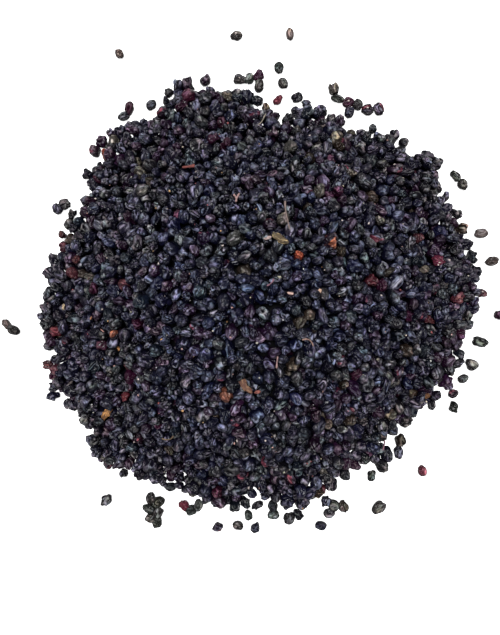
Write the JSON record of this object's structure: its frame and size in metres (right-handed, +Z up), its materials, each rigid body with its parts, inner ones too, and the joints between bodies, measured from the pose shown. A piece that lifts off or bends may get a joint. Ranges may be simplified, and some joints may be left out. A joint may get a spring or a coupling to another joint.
{
  "type": "heap of dried elderberries",
  "caption": "Low round heap of dried elderberries on a flat surface, with loose berries and small clumps beside it and bits of dried stalk and husk on it.",
  "frame": {"origin": "on the surface that the heap lies on, under the middle of the heap", "axes": "+Z up out of the surface; +X to the right and +Y away, as the heap is seen from straight above"},
  "size_m": [0.1892, 0.1899, 0.0391],
  "materials": {
    "berry": "matt, wrinkled, with a bluish bloom",
    "stalk": "matt, dried",
    "husk": "matt, papery"
  },
  "bodies": {
    "root": {"berry_heap": "berry", "stray_berry_01": "berry", "stray_berry_02": "berry", "stray_berry_03": "berry", "stray_berry_04": "berry", "stray_berry_05": "berry", "stray_berry_06": "berry", "stray_berry_07": "berry", "stray_berry_08": "berry", "stray_berry_09": "berry", "stray_berry_10": "berry", "stray_berry_11": "berry", "stray_berry_12": "berry", "stray_berry_13": "berry", "stray_berry_14": "berry", "stray_berry_15": "berry", "stray_berry_16": "berry", "stray_berry_17": "berry", "stray_berry_18": "berry", "stray_berry_19": "berry", "stray_berry_20": "berry", "stray_berry_21": "berry", "stray_berry_22": "berry", "stray_berry_23": "berry", "stray_berry_24": "berry", "stray_berry_25": "berry", "stray_berry_26": "berry", "stray_clump_01": "berry", "stray_clump_02": "berry", "stray_clump_03": "berry", "stray_clump_04": "berry", "stray_clump_05": "berry", "stray_clump_06": "berry", "stray_clump_07": "berry", "stray_clump_08": "berry", "stray_clump_09": "berry", "stray_clump_10": "berry", "stray_clump_11": "berry", "stray_clump_12": "berry", "stalk_bit_01": "stalk", "stalk_bit_02": "stalk", "stalk_bit_03": "stalk", "stalk_bit_04": "stalk", "stalk_bit_05": "stalk", "stalk_bit_06": "stalk", "stalk_bit_07": "stalk", "stalk_bit_08": "stalk", "stalk_bit_09": "stalk", "husk_bit_01": "husk", "husk_bit_02": "husk", "husk_bit_03": "husk", "husk_bit_04": "husk"}
  },
  "joints": []
}
